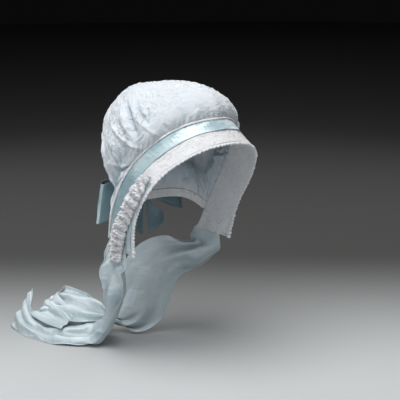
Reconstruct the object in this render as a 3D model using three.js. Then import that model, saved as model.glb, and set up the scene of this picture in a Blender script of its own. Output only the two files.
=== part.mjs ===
// A soft ribbon-trimmed cap: a puffed, gathered crown on a shaped front band with two lappets,
// a drawstring band at the nape, satin ribbon over the seam, ruched side trims, a bow and two ties.
// Millimetres, +Z up. The front is -Y and the wearer's left is +X. The origin is the seat, the point
// under the top of the cap that rests on the wearer, so most of the cap hangs below Z = 0.
import * as THREE from "three";

// Cloth thicknesses, and the space that neighbouring pieces keep
const BAND_WALL = 1.6;
const CROWN_WALL = 1.5;
const RIBBON_WALL = 1.0;
const CASING_WALL = 1.6;
const TIE_WALL = 1.0;
const SEAM_GAP = 0.3;

// Front edge of the band: an arch from the forehead down to the hem of each lappet
const EDGE_TOP_DROP = 19;
const EDGE_SPRING_DROP = 101;
const EDGE_HEM_DROP = 176;
const EDGE_HALF_WIDTH = 91;
const EDGE_HEM_HALF_WIDTH = 84;
const EDGE_FORWARD = 60;
const EDGE_BACK = 40;

// Seam arch, where the crown is gathered on to the band
const SEAM_TOP_RISE = 8;
const SEAM_SPRING_DROP = 88;
const SEAM_HEM_DROP = 172;
const SEAM_HALF_WIDTH = 88;
const SEAM_HEM_HALF_WIDTH = 78;
const SEAM_FORWARD = 34;
const SEAM_BACK = 101;
const ARCH_ROUNDNESS = 2.2;

// Crown bag
const CROWN_HALF_WIDTH = 95;
const CROWN_DEPTH = 164;
const CROWN_RISE = 54;
const CROWN_SEAM_END = 0.82;
const GATHER_DEPTH = 2.4;
const GATHER_COUNT = 20;
const GATHER_REACH = 0.12;
const FOLD_DEPTH = 6;

// Nape
const NAPE_BACK = 114;
const NAPE_DROP = 108;
const NAPE_BAND_HEIGHT = 12;

// Trims. The ribbons cover shares of the band from its front edge to the seam, and of each side.
const BAND_RIBBON = { front: 0.52, back: 0.98, end: 0.93 };
const SIDE_RIBBON = { front: 0.05, back: 0.24, top: 0.5, bottom: 0.985 };
const RUCHE_WIDTH = 26;
const RUCHE_HEIGHT = 8;
const RUCHE_PUFFS = 11;
const RUCHE_SLANT = 0.7;
const RUCHE_OVERHANG = 0.065;
const BINDING_THICKNESS = 2.6;
const BINDING_WIDTH = 3.2;
const BINDING_SWELL = 0.7;

// Bow at the nape. The shares are of the length of a loop or of a tail.
const BOW_RIBBON = 56;
const BOW_LOOP = 62;
const BOW_FULLNESS = 16;
const BOW_PARTING = 3;
const BOW_LEAN = 0.2;
const BOW_DROOP = 0.02;
const BOW_SLANT = 0.17;
const BOW_TAIL = 48;
const BOW_TAIL_WIDTH = 26;
const BOW_TAIL_SPLAY = 0.1;
const BOW_TAIL_SLANT = 0.25;
const BOW_TAIL_WAVE = 2.5;
const KNOT_WIDTH = 20;
const KNOT_HEIGHT = 24;
const KNOT_DEPTH = 16;

// Ties, which fall to the ground behind the wearer and lie there in loose folds
const TIE_WIDTH = 96;
const TIE_WAVE = 4;
const GROUND_DROP = 331;
const PUDDLE_REACH = 200;

const WHITE_CLOTH = { color: 0xe8eef6, roughness: 0.82, metalness: 0 };
const WHITE_TRIM = { color: 0xdfe6ef, roughness: 0.78, metalness: 0 };
const BLUE_SATIN = { color: 0xc4dbe2, roughness: 0.38, metalness: 0 };
const BLUE_SHADE = { color: 0xa9c6cf, roughness: 0.42, metalness: 0 };

const part = new THREE.Group();

function mix(a, b, share) {
  return a + (b - a) * share;
}

function ease(share) {
  const u = Math.min(Math.max(share, 0), 1);
  return u * u * (3 - 2 * u);
}

// A smooth value between the rows of a table, whose `at` column says where each row stands.
function along(rows, column, at) {
  const last = rows.length - 1;
  let row = 0;
  while (row < last - 1 && at > rows[row + 1].at) row += 1;
  const slope = (i) => {
    const low = rows[Math.max(i - 1, 0)];
    const high = rows[Math.min(i + 1, last)];
    return (high[column] - low[column]) / (high.at - low.at);
  };
  const span = rows[row + 1].at - rows[row].at;
  const u = Math.min(Math.max((at - rows[row].at) / span, 0), 1);
  const pull = span * (slope(row) * u * (1 - u) * (1 - u) - slope(row + 1) * u * u * (1 - u));
  return mix(rows[row][column], rows[row + 1][column], ease(u)) + pull;
}

// The same rows on both sides of `place`, so that a table for one side joins up smoothly there.
function mirrored(rows, place, flipped = []) {
  const other = rows
    .filter((row) => row.at !== place)
    .map((row) => {
      const copy = { ...row, at: 2 * place - row.at };
      for (const column of flipped) copy[column] = -row[column];
      return copy;
    });
  return [...rows, ...other].sort((a, b) => a.at - b.at);
}

// Half an arch seen from the front: a superellipse quarter above the spring line and a straight
// fall to the hem below it, walked by share of its length. `setback` carries it front to back.
function archCurve({ top, spring, hem, halfWidth, hemHalfWidth, front, back, setback }) {
  const rows = mirrored(setback, 0);
  const points = [];
  const turns = 48;
  for (let i = 0; i <= turns; i += 1) {
    const angle = (i / turns) * (Math.PI / 2);
    const out = halfWidth * Math.sin(angle) ** (2 / ARCH_ROUNDNESS);
    const up = mix(spring, top, Math.cos(angle) ** (2 / ARCH_ROUNDNESS));
    points.push(new THREE.Vector2(out, up));
  }
  const steps = 20;
  for (let i = 1; i <= steps; i += 1) {
    const share = i / steps;
    const out = mix(halfWidth, hemHalfWidth, share * share);
    points.push(new THREE.Vector2(out, mix(spring, hem, share)));
  }
  const lengths = [0];
  for (let i = 1; i < points.length; i += 1) {
    lengths.push(lengths[i - 1] + points[i].distanceTo(points[i - 1]));
  }
  const total = lengths[lengths.length - 1];
  return (side) => {
    const reach = Math.abs(side) * total;
    let i = 1;
    while (i < points.length - 1 && lengths[i] < reach) i += 1;
    const step = (reach - lengths[i - 1]) / (lengths[i] - lengths[i - 1]);
    const flat = points[i - 1].clone().lerp(points[i], step);
    const depth = mix(front, back, along(rows, "share", Math.abs(side)));
    return new THREE.Vector3(Math.sign(side) * flat.x, depth, flat.y);
  };
}

const edgeCurve = archCurve({
  top: -EDGE_TOP_DROP,
  spring: -EDGE_SPRING_DROP,
  hem: -EDGE_HEM_DROP,
  halfWidth: EDGE_HALF_WIDTH,
  hemHalfWidth: EDGE_HEM_HALF_WIDTH,
  front: -EDGE_FORWARD,
  back: EDGE_BACK,
  setback: [
    { at: 0, share: 0 },
    { at: 0.25, share: 0.13 },
    { at: 0.5, share: 0.5 },
    { at: 0.75, share: 0.85 },
    { at: 1, share: 1 },
  ],
});

const seamCurve = archCurve({
  top: SEAM_TOP_RISE,
  spring: -SEAM_SPRING_DROP,
  hem: -SEAM_HEM_DROP,
  halfWidth: SEAM_HALF_WIDTH,
  hemHalfWidth: SEAM_HEM_HALF_WIDTH,
  front: -SEAM_FORWARD,
  back: SEAM_BACK,
  setback: [
    { at: 0, share: 0 },
    { at: 0.25, share: 0.21 },
    { at: 0.5, share: 0.55 },
    { at: 0.75, share: 0.82 },
    { at: 1, share: 1 },
  ],
});

// The band's middle surface: `side` runs from -1 at the right hem over the top to 1 at the left
// hem, and `across` from 0 at the front edge to 1 at the seam.
function bandPoint(side, across) {
  return edgeCurve(side).lerp(seamCurve(side), across);
}

// The direction across the band, from its front edge to the seam.
function bandAcross(side) {
  return seamCurve(side).sub(edgeCurve(side)).normalize();
}

function normalOf(surface, a, b) {
  const step = 1e-3;
  const alongA = surface(a + step, b).sub(surface(a - step, b));
  const alongB = surface(a, b + step).sub(surface(a, b - step));
  return alongA.cross(alongB).normalize();
}

function bandNormal(side, across) {
  return normalOf(bandPoint, THREE.MathUtils.clamp(side, -0.99, 0.99), across);
}

// The band's surface lifted outward, for what lies on the band.
function onBand(side, across, lift) {
  return bandPoint(side, across).addScaledVector(bandNormal(side, across), lift);
}

// A named mesh in the group from corners and triangles, turned so that its faces point outward.
function addBody(name, corners, triangles, finish) {
  let volume = 0;
  for (let i = 0; i < triangles.length; i += 3) {
    const [a, b, c] = triangles.slice(i, i + 3).map((n) => corners[n]);
    volume += a.dot(b.clone().cross(c));
  }
  if (volume < 0) triangles.reverse();
  const geometry = new THREE.BufferGeometry().setFromPoints(corners);
  geometry.setIndex(triangles);
  geometry.computeVertexNormals();
  const mesh = new THREE.Mesh(geometry, new THREE.MeshStandardMaterial(finish));
  mesh.name = name;
  part.add(mesh);
}

// A closed body between an outer and an inner surface over one grid. With `ring` the columns
// close on themselves, and with `pole` the last row is a single point.
function solid(name, outer, inner, columns, rows, finish, { ring = false, pole = false } = {}) {
  const perRow = ring ? columns : columns + 1;
  const gridRows = pole ? rows - 1 : rows;
  const corners = [];
  for (const surface of [outer, inner]) {
    for (let j = 0; j <= gridRows; j += 1) {
      for (let i = 0; i < perRow; i += 1) corners.push(surface(i / columns, j / rows));
    }
    if (pole) corners.push(surface(0, 1));
  }
  const layer = corners.length / 2;
  const at = (face, i, j) => face * layer + j * perRow + (i % perRow);
  const triangles = [];
  const quad = (a, b, c, d) => triangles.push(a, b, c, a, c, d);
  for (let i = 0; i < columns; i += 1) {
    for (let j = 0; j < gridRows; j += 1) {
      quad(at(0, i, j), at(0, i + 1, j), at(0, i + 1, j + 1), at(0, i, j + 1));
      quad(at(1, i, j + 1), at(1, i + 1, j + 1), at(1, i + 1, j), at(1, i, j));
    }
    quad(at(1, i, 0), at(1, i + 1, 0), at(0, i + 1, 0), at(0, i, 0));
    if (pole) {
      triangles.push(at(0, i, gridRows), at(0, i + 1, gridRows), layer - 1);
      triangles.push(at(1, i + 1, gridRows), at(1, i, gridRows), 2 * layer - 1);
    } else {
      quad(at(0, i, rows), at(0, i + 1, rows), at(1, i + 1, rows), at(1, i, rows));
    }
  }
  if (!ring) {
    for (let j = 0; j < gridRows; j += 1) {
      quad(at(0, 0, j), at(0, 0, j + 1), at(1, 0, j + 1), at(1, 0, j));
      quad(at(1, columns, j), at(1, columns, j + 1), at(0, columns, j + 1), at(0, columns, j));
    }
  }
  addBody(name, corners, triangles, finish);
}

// A sheet of even thickness on either side of a middle surface.
function sheet(name, middle, thickness, columns, rows, finish) {
  const inside = (share) => THREE.MathUtils.clamp(share, 0.01, 0.99);
  const face = (half) => (u, v) => {
    return middle(u, v).addScaledVector(normalOf(middle, inside(u), inside(v)), half);
  };
  solid(name, face(thickness / 2), face(-thickness / 2), columns, rows, finish);
}

// A solid rod: `skin` goes along by its first number and round by its second.
function rod(name, skin, steps, sides, finish) {
  const corners = [];
  for (let i = 0; i <= steps; i += 1) {
    for (let j = 0; j < sides; j += 1) corners.push(skin(i / steps, j / sides));
  }
  const triangles = [];
  const at = (i, j) => i * sides + (j % sides);
  for (let i = 0; i < steps; i += 1) {
    for (let j = 0; j < sides; j += 1) {
      triangles.push(at(i, j), at(i + 1, j), at(i + 1, j + 1));
      triangles.push(at(i, j), at(i + 1, j + 1), at(i, j + 1));
    }
  }
  for (let j = 1; j < sides - 1; j += 1) {
    triangles.push(at(0, 0), at(0, j), at(0, j + 1));
    triangles.push(at(steps, 0), at(steps, j + 1), at(steps, j));
  }
  addBody(name, corners, triangles, finish);
}

const SIDES = [
  { name: "right", sign: -1 },
  { name: "left", sign: 1 },
];

const RIBBON_LIFT = BAND_WALL / 2 + SEAM_GAP + RIBBON_WALL / 2;
const RUCHE_LIFT = RIBBON_LIFT + RIBBON_WALL / 2 + SEAM_GAP;

// Front band and its lappets
function frontBand() {
  sheet("front_band", (u, v) => bandPoint(mix(-1, 1, u), v), BAND_WALL, 54, 3, WHITE_CLOTH);
}

// Rolled binding along the front edge, fuller towards the hem of each lappet
function edgeBinding() {
  const skin = (u, v) => {
    const side = mix(-1, 1, u);
    const swell = 1 + BINDING_SWELL * Math.abs(side) ** 12;
    const turn = 2 * Math.PI * v;
    const forward = SEAM_GAP + (BINDING_WIDTH * swell * (1 + Math.cos(turn))) / 2;
    return onBand(side, 0, (BINDING_THICKNESS * swell * Math.sin(turn)) / 2)
      .addScaledVector(bandAcross(side), -forward);
  };
  rod("edge_binding", skin, 54, 6, WHITE_TRIM);
}

// Satin ribbon over the back of the band, along the seam
function bandRibbon() {
  const middle = (u, v) => {
    const side = mix(-BAND_RIBBON.end, BAND_RIBBON.end, u);
    return onBand(side, mix(BAND_RIBBON.front, BAND_RIBBON.back, v), RIBBON_LIFT);
  };
  sheet("band_ribbon", middle, RIBBON_WALL, 52, 2, BLUE_SATIN);
}

// Narrow ribbon down the front of each lappet, beside the ruche
function sideRibbon({ name, sign }) {
  const middle = (u, v) => {
    const side = sign * mix(SIDE_RIBBON.top, SIDE_RIBBON.bottom, u);
    return onBand(side, mix(SIDE_RIBBON.front, SIDE_RIBBON.back, v), RIBBON_LIFT);
  };
  sheet(`side_ribbon_${name}`, middle, RIBBON_WALL, 16, 1, BLUE_SHADE);
}

// Ruche on each lappet: a gathered strip that starts narrow, with slanting puffs
const RUCHE_PATH = [
  { at: 0.47, across: 0.3, width: 0.35 },
  { at: 0.6, across: 0.28, width: 0.85 },
  { at: 0.75, across: 0.34, width: 1 },
  { at: 0.87, across: 0.5, width: 1.15 },
  { at: 1.08, across: 0.65, width: 1.15 },
];
function ruche({ name, sign }) {
  const surface = (puffed) => (u, v) => {
    const side = mix(RUCHE_PATH[0].at, 1 + RUCHE_OVERHANG, u);
    const reach = (RUCHE_WIDTH * along(RUCHE_PATH, "width", side)) / 2;
    const ripple = Math.cos(2 * Math.PI * (RUCHE_PUFFS * u + RUCHE_SLANT * v));
    const across = (v * 2 - 1) * reach * (1 + 0.08 * ripple);
    const rise = RUCHE_HEIGHT * along(RUCHE_PATH, "width", side) * (0.72 + 0.28 * ripple);
    const crest = Math.sqrt(Math.max(1 - (2 * v - 1) ** 2, 0));
    const lift = RUCHE_LIFT + (puffed ? RIBBON_WALL + rise * crest : 0);
    return onBand(sign * side, along(RUCHE_PATH, "across", side), lift)
      .addScaledVector(bandAcross(sign * Math.min(side, 1)), across);
  };
  solid(`ruche_${name}`, surface(true), surface(false), 36, 5, WHITE_TRIM);
}

// The closed line on which the crown is gathered: the seam arch, then round the nape. `turn` is 0
// at the top of the arch and 1 or -1 at the middle of the nape.
const LOOP_SEAM_SHARE = 0.69;
function gatherLine(turn) {
  const sign = Math.sign(turn) || 1;
  const share = Math.abs(turn);
  const side = sign * Math.min(share / LOOP_SEAM_SHARE, 1) * CROWN_SEAM_END;
  const start = seamCurve(side).addScaledVector(bandAcross(side), SEAM_GAP + CROWN_WALL / 2);
  const quarter = ((share - LOOP_SEAM_SHARE) / (1 - LOOP_SEAM_SHARE)) * (Math.PI / 2);
  if (quarter <= 0) return start;
  const round = Math.sin(quarter);
  return new THREE.Vector3(
    start.x * Math.cos(quarter),
    mix(start.y, NAPE_BACK, round),
    mix(start.z, -NAPE_DROP, ease(round)),
  );
}

// Two rings of control points between the gather line and the back of the bag, as shares of the
// crown's half width, its depth and its height above the nape.
const CROWN_RINGS = mirrored(
  mirrored(
    [
      { at: 0, out1: 0, back1: -0.34, up1: 0.95, out2: 0, back2: 0.31, up2: 1.06 },
      { at: 0.35, out1: 1.06, back1: -0.04, up1: 0.66, out2: 0.67, back2: 0.55, up2: 1.07 },
      { at: 0.52, out1: 1.06, back1: 0.27, up1: 0.46, out2: 0.9, back2: 0.76, up2: 1 },
      { at: 0.69, out1: 0.88, back1: 0.41, up1: 0.28, out2: 0.81, back2: 1, up2: 0.88 },
      { at: 0.85, out1: 0.68, back1: 0.63, up1: 0.39, out2: 0.71, back2: 1.21, up2: 0.74 },
      { at: 1, out1: 0, back1: 0.75, up1: 0.36, out2: 0, back2: 1.3, up2: 0.76 },
    ],
    0,
    ["out1", "out2"],
  ),
  1,
  ["out1", "out2"],
);
const CROWN_BACK = { back: 0.66, up: 0.93 };

function crownControl(out, back, up) {
  const height = mix(-NAPE_DROP, CROWN_RISE, up);
  return new THREE.Vector3(out * CROWN_HALF_WIDTH, back * CROWN_DEPTH, height);
}

// The bag without its folds: a cubic curve from the gather line to the back of the bag.
function crownBase(turn, reach) {
  const wrapped = THREE.MathUtils.euclideanModulo(turn + 1, 2) - 1;
  const sign = Math.sign(wrapped);
  const ring = (n) => {
    const [out, back, up] = ["out", "back", "up"].map((column) => {
      return along(CROWN_RINGS, column + n, Math.abs(wrapped));
    });
    return crownControl(sign * out, back, up);
  };
  const rest = 1 - reach;
  return gatherLine(wrapped)
    .multiplyScalar(rest ** 3)
    .addScaledVector(ring(1), 3 * rest * rest * reach)
    .addScaledVector(ring(2), 3 * rest * reach * reach)
    .addScaledVector(crownControl(0, CROWN_BACK.back, CROWN_BACK.up), reach ** 3);
}

// Main folds of the crown: where each starts round the gather line and how far it drifts, the
// stretch towards the back that it covers, its width as a share of the loop, and its depth.
const CROWN_FOLDS = [
  { turn: -0.36, drift: 0.04, from: 0.04, to: 0.55, width: 0.018, depth: -0.6 },
  { turn: -0.45, drift: 0.07, from: 0.05, to: 0.62, width: 0.02, depth: -0.9 },
  { turn: -0.53, drift: 0.08, from: 0.04, to: 0.6, width: 0.018, depth: -0.7 },
  { turn: -0.6, drift: 0.05, from: 0.04, to: 0.45, width: 0.016, depth: -0.5 },
  { turn: -0.12, drift: -0.03, from: 0.03, to: 0.4, width: 0.02, depth: -0.5 },
  { turn: 0.1, drift: 0.04, from: 0.03, to: 0.42, width: 0.02, depth: -0.6 },
  { turn: 0.33, drift: -0.05, from: 0.04, to: 0.55, width: 0.02, depth: -0.8 },
  { turn: 0.46, drift: -0.06, from: 0.05, to: 0.6, width: 0.018, depth: -0.7 },
  { turn: 0.58, drift: -0.05, from: 0.04, to: 0.5, width: 0.018, depth: -0.6 },
  { turn: -0.8, drift: 0.02, from: 0.03, to: 0.5, width: 0.02, depth: -0.6 },
  { turn: 0.83, drift: -0.02, from: 0.03, to: 0.5, width: 0.02, depth: -0.6 },
];

// Overhang of the bag round its lower sides and the nape: a hollow by the gather line and a swell
// beyond it, between the place where it starts round the gather line and where it is full
const OVERHANG = { start: 0.4, full: 0.56 };
const OVERHANG_RELIEF = [
  { reach: 0.16, width: 0.07, depth: -1.5 },
  { reach: 0.35, width: 0.1, depth: 0.9 },
];

function bump(offset) {
  return Math.exp(-offset * offset);
}

// How far the cloth stands out of the plain bag: gathers that die away from the gather line, the
// main folds, and the bag's overhang above the nape.
function crownRelief(turn, reach) {
  const fade = (reach / GATHER_REACH) * Math.exp(1 - reach / GATHER_REACH);
  const gathers = GATHER_DEPTH * fade * Math.cos(Math.PI * GATHER_COUNT * turn);
  const folds = CROWN_FOLDS.reduce((sum, fold) => {
    const way = (reach - fold.from) / (fold.to - fold.from);
    if (way <= 0 || way >= 1) return sum;
    const off = (turn - fold.turn - fold.drift * way) / fold.width;
    return sum + fold.depth * Math.sin(Math.PI * way) ** 0.8 * bump(off);
  }, 0);
  const tuck = OVERHANG_RELIEF.reduce((sum, { reach: at, width, depth }) => {
    return sum + depth * bump((reach - at) / width);
  }, 0);
  const low = ease((Math.abs(turn) - OVERHANG.start) / (OVERHANG.full - OVERHANG.start));
  return gathers + FOLD_DEPTH * (folds + low * tuck);
}

function crown() {
  const base = (u, v) => crownBase(mix(-1, 1, u), v);
  const face = (half) => (u, v) => {
    const normal = normalOf(base, u, THREE.MathUtils.clamp(v, 0.01, 0.97));
    const relief = v <= 0 || v >= 1 ? 0 : crownRelief(mix(-1, 1, u), v);
    return base(u, v).addScaledVector(normal, relief + half);
  };
  const outer = face(CROWN_WALL / 2);
  const inner = face(-CROWN_WALL / 2);
  solid("crown", outer, inner, 80, 13, WHITE_CLOTH, { ring: true, pole: true });
}

// Drawstring band round the nape, under the gathered edge of the crown
function napeBand() {
  const middle = (u, v) => {
    const turn = mix(LOOP_SEAM_SHARE, 2 - LOOP_SEAM_SHARE, u);
    const wrapped = turn > 1 ? turn - 2 : turn;
    const lean = ease((1 - Math.abs(wrapped)) / (1 - LOOP_SEAM_SHARE));
    const seamEnd = Math.sign(wrapped) * CROWN_SEAM_END;
    const downSeam = seamCurve(seamEnd * 1.05).sub(seamCurve(seamEnd)).normalize();
    const down = new THREE.Vector3(0, 0, -1).lerp(downSeam, lean).normalize();
    const drop = CROWN_WALL / 2 + SEAM_GAP + v * NAPE_BAND_HEIGHT;
    return gatherLine(wrapped).addScaledVector(down, drop);
  };
  sheet("nape_band", middle, CASING_WALL, 24, 2, WHITE_TRIM);
}

const BOW_CENTRE = new THREE.Vector3(
  0,
  NAPE_BACK + CASING_WALL / 2 + SEAM_GAP + KNOT_DEPTH / 2,
  -NAPE_DROP - NAPE_BAND_HEIGHT / 2,
);

// Knot of the bow, a small puffed pad
function bowKnot() {
  const shape = new THREE.SphereGeometry(0.5, 12, 8);
  shape.scale(KNOT_WIDTH, KNOT_DEPTH, KNOT_HEIGHT);
  shape.translate(...BOW_CENTRE.toArray());
  const mesh = new THREE.Mesh(shape, new THREE.MeshStandardMaterial(BLUE_SHADE));
  mesh.name = "bow_knot";
  part.add(mesh);
}

// One loop of the bow, which leaves the knot, folds back at its outer end and droops a little
function bowLoop({ name, sign }) {
  const middle = (u, v) => {
    const out = Math.sin(Math.PI * u);
    const height = mix(KNOT_HEIGHT * 0.7, BOW_RIBBON, ease(out * 1.15));
    const up = (v - 0.5) * height;
    const reach = KNOT_WIDTH / 2 + SEAM_GAP + (BOW_LOOP - BOW_SLANT * up) * out;
    const leaf = (BOW_PARTING * Math.cos(Math.PI * u) + BOW_FULLNESS * Math.sin(2 * Math.PI * u)) / 2;
    const back = BOW_LEAN * BOW_LOOP * out - leaf;
    return BOW_CENTRE.clone().add(new THREE.Vector3(sign * reach, back, up - BOW_DROOP * BOW_LOOP * out));
  };
  sheet(`bow_loop_${name}`, middle, RIBBON_WALL, 20, 4, BLUE_SATIN);
}

// One end of the bow's ribbon, cut on a slant, below the knot
function bowTail({ name, sign }) {
  const middle = (u, v) => {
    const width = mix(KNOT_WIDTH * 0.4, BOW_TAIL_WIDTH, ease(u * 1.6));
    const out = RIBBON_WALL + SEAM_GAP + BOW_TAIL_SPLAY * BOW_TAIL * u + v * width;
    const fall = KNOT_HEIGHT / 2 + u * BOW_TAIL * (1 - BOW_TAIL_SLANT * v);
    const back = BOW_TAIL_WAVE * Math.sin(Math.PI * (u + v));
    return BOW_CENTRE.clone().add(new THREE.Vector3(sign * out, back, -fall));
  };
  sheet(`bow_tail_${name}`, middle, RIBBON_WALL, 8, 3, BLUE_SHADE);
}

// Ties. Each row is a place along the tie: how far its middle has crossed from its own side (0) to
// the middle of the wearer (1), its shares of the reach behind the hem and of the fall to the
// ground, the direction of the ribbon's width, how much of the width is spread out, and its waves.
const TIE_PATHS = {
  right: [
    { at: 0, over: 0, back: 0, fall: 0, dx: 0.1, dy: 1, dz: 0.07, spread: 0.43, wave: 0 },
    { at: 0.07, over: 0, back: 0.01, fall: 0.15, dx: 0.1, dy: 1, dz: 0.04, spread: 0.48, wave: 0 },
    { at: 0.13, over: 0, back: 0.085, fall: 0.26, dx: 0.05, dy: 1, dz: -0.06, spread: 0.72, wave: 0.7 },
    { at: 0.22, over: 0.02, back: 0.1, fall: 0.38, dx: 0, dy: 1, dz: -0.1, spread: 0.74, wave: 1 },
    { at: 0.3, over: 0.05, back: 0.11, fall: 0.47, dx: 0.05, dy: 1, dz: -0.05, spread: 0.68, wave: 0.9 },
    { at: 0.38, over: 0.09, back: 0.15, fall: 0.56, dx: 0.2, dy: 0.95, dz: 0, spread: 0.6, wave: 0.8 },
    { at: 0.46, over: 0.16, back: 0.22, fall: 0.69, dx: 0.45, dy: 0.85, dz: 0.05, spread: 0.5, wave: 0.5 },
    { at: 0.54, over: 0.19, back: 0.305, fall: 0.83, dx: 0.62, dy: 0.72, dz: 0.25, spread: 0.5, wave: 0.3 },
    { at: 0.62, over: 0.12, back: 0.42, fall: 0.928, dx: 0.64, dy: 0.68, dz: 0.28, spread: 0.54, wave: 0.2 },
    { at: 0.71, over: -0.15, back: 0.53, fall: 0.951, dx: 0.6, dy: 0.72, dz: 0.28, spread: 0.5, wave: 0.15 },
    { at: 0.8, over: -0.37, back: 0.66, fall: 0.953, dx: 0.56, dy: 0.74, dz: 0.28, spread: 0.47, wave: 0.15 },
    { at: 0.88, over: -0.49, back: 0.79, fall: 0.942, dx: 0.5, dy: 0.7, dz: 0.3, spread: 0.42, wave: 0.1 },
    { at: 0.94, over: -0.53, back: 0.92, fall: 0.901, dx: 0.55, dy: 0.45, dz: 0.6, spread: 0.46, wave: 0.1 },
    { at: 1, over: -0.42, back: 1.08, fall: 0.839, dx: 0.62, dy: 0.1, dz: 0.78, spread: 0.56, wave: 0.1 },
  ],
  left: [
    { at: 0, over: 0, back: 0, fall: 0, dx: -0.1, dy: 1, dz: 0.07, spread: 0.43, wave: 0 },
    { at: 0.07, over: 0, back: 0.01, fall: 0.15, dx: -0.1, dy: 1, dz: 0.05, spread: 0.48, wave: 0 },
    { at: 0.14, over: 0.12, back: 0.12, fall: 0.255, dx: -0.25, dy: 0.9, dz: 0.35, spread: 0.58, wave: 0.5 },
    { at: 0.2, over: 0.33, back: 0.21, fall: 0.285, dx: -0.42, dy: 0.55, dz: 0.7, spread: 0.7, wave: 1 },
    { at: 0.26, over: 0.57, back: 0.27, fall: 0.33, dx: -0.6, dy: 0.6, dz: 0.5, spread: 0.85, wave: 1 },
    { at: 0.33, over: 0.79, back: 0.32, fall: 0.455, dx: -0.74, dy: 0.62, dz: 0.2, spread: 0.9, wave: 1 },
    { at: 0.4, over: 0.93, back: 0.345, fall: 0.65, dx: -0.76, dy: 0.62, dz: 0.05, spread: 0.9, wave: 1 },
    { at: 0.47, over: 1.08, back: 0.37, fall: 0.845, dx: -0.74, dy: 0.62, dz: 0.16, spread: 0.86, wave: 0.7 },
    { at: 0.54, over: 1.26, back: 0.43, fall: 0.89, dx: -0.5, dy: 0.7, dz: 0.5, spread: 0.64, wave: 0.4 },
    { at: 0.61, over: 1.45, back: 0.55, fall: 0.819, dx: -0.05, dy: 0.8, dz: 0.5, spread: 0.48, wave: 0.15 },
    { at: 0.69, over: 1.73, back: 0.66, fall: 0.78, dx: 0.5, dy: 0.65, dz: 0.4, spread: 0.46, wave: 0.2 },
    { at: 0.77, over: 1.95, back: 0.82, fall: 0.775, dx: 0.55, dy: 0.4, dz: 0.6, spread: 0.42, wave: 0.1 },
    { at: 0.84, over: 2.18, back: 0.89, fall: 0.786, dx: 0.75, dy: -0.2, dz: 0.55, spread: 0.38, wave: 0.1 },
    { at: 0.9, over: 2.17, back: 0.81, fall: 0.819, dx: 0.8, dy: -0.35, dz: 0.4, spread: 0.38, wave: 0.1 },
    { at: 1, over: 2.06, back: 0.63, fall: 0.882, dx: 0.8, dy: 0.3, dz: 0.2, spread: 0.3, wave: 0.1 },
  ],
};

// A tie is sewn under the ruche, flares flat against the lappet past its hem, and then falls free.
const TIE_SEWN = [
  { at: 0, side: 0.945, across: 0.62, width: 0.66 },
  { at: 1, side: 1.065, across: 0.74, width: 1 },
];
const TIE_SEWN_SHARE = 0.07;
const TIE_FREE_SHARE = 0.13;

function tie({ name, sign }) {
  const rows = TIE_PATHS[name];
  const start = onBand(sign * TIE_SEWN[0].side, TIE_SEWN[0].across, RIBBON_LIFT);
  const sewn = (u, v) => {
    const read = (column) => mix(TIE_SEWN[0][column], TIE_SEWN[1][column], u / TIE_SEWN_SHARE);
    return onBand(sign * read("side"), read("across") + (v - 0.5) * read("width"), RIBBON_LIFT);
  };
  const centre = (u) =>
    new THREE.Vector3(
      start.x * (1 - along(rows, "over", u)),
      start.y + PUDDLE_REACH * along(rows, "back", u),
      mix(start.z, -GROUND_DROP, along(rows, "fall", u)),
    );
  const free = (u, v) => {
    const read = (column) => along(rows, column, u);
    const width = new THREE.Vector3(read("dx"), read("dy"), read("dz")).normalize();
    const heading = centre(u + 0.01).sub(centre(u - 0.01));
    const lift = width.clone().cross(heading).normalize();
    return centre(u)
      .addScaledVector(width, (v - 0.5) * TIE_WIDTH * read("spread"))
      .addScaledVector(lift, TIE_WAVE * read("wave") * Math.cos(2 * Math.PI * (1.5 * v + 0.6 * u)));
  };
  const middle = (u, v) => {
    const loose = ease((u - TIE_SEWN_SHARE) / (TIE_FREE_SHARE - TIE_SEWN_SHARE));
    return sewn(Math.min(u, TIE_FREE_SHARE), v).lerp(free(u, v), loose);
  };
  sheet(`tie_${name}`, middle, TIE_WALL, 42, 5, BLUE_SATIN);
}

crown();
napeBand();
frontBand();
edgeBinding();
bandRibbon();
for (const side of SIDES) {
  sideRibbon(side);
  ruche(side);
  bowLoop(side);
  bowTail(side);
  tie(side);
}
bowKnot();

export default part;
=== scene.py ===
"""A soft ribbon-trimmed cap: a gathered crown bag on a shaped band with lappets, satin ribbon over
the seam, ruched sides, a bow at the nape and two long satin ties that lie on the ground behind.

Sizes are in millimetres and become metres when a mesh is made; the floor, the lamps and the
camera are in metres. Shares run from 0 to 1.
"""

import math

import bpy
import numpy as np
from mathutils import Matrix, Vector


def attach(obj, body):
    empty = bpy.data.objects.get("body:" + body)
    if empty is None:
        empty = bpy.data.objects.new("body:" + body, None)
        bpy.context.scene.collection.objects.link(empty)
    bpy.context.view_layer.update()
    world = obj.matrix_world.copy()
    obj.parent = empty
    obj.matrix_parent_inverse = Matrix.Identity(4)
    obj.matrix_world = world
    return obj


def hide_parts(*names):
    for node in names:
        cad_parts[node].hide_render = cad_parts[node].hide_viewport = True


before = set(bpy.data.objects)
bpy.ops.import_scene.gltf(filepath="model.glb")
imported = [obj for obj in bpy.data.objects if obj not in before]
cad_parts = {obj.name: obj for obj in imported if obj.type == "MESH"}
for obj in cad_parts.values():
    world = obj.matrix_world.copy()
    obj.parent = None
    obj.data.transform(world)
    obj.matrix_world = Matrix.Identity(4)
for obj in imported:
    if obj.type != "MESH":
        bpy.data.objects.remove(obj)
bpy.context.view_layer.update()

MM = 0.001
GROUND = -331.0
SEAM_GAP = 0.3

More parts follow.
